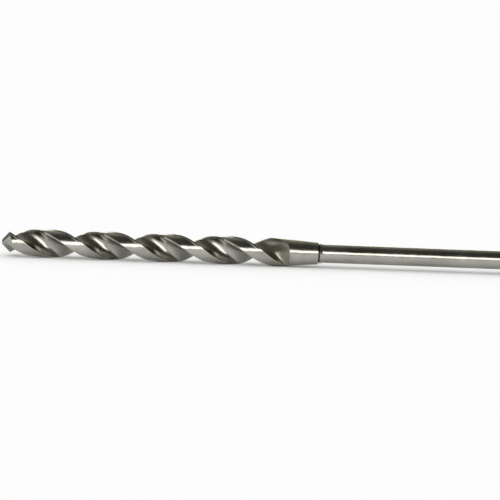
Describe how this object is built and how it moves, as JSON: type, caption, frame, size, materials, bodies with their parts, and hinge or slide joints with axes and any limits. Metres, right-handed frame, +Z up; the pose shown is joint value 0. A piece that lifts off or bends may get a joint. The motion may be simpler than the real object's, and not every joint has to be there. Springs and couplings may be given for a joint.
{
  "type": "twist drill bit",
  "caption": "Long twist drill bit with a two-flute helical head, a tapering neck and a thinner plain shank.",
  "frame": {"origin": "centre of the bit's bounding box, on the plane it lies on", "axes": "+X from the point to the shank along the bit's axis, +Z up, the bit lying on its side"},
  "size_m": [0.3046, 0.0096, 0.0095],
  "materials": {
    "steel": "ground bright"
  },
  "bodies": {
    "root": {"drill_bit": "steel"}
  },
  "joints": []
}
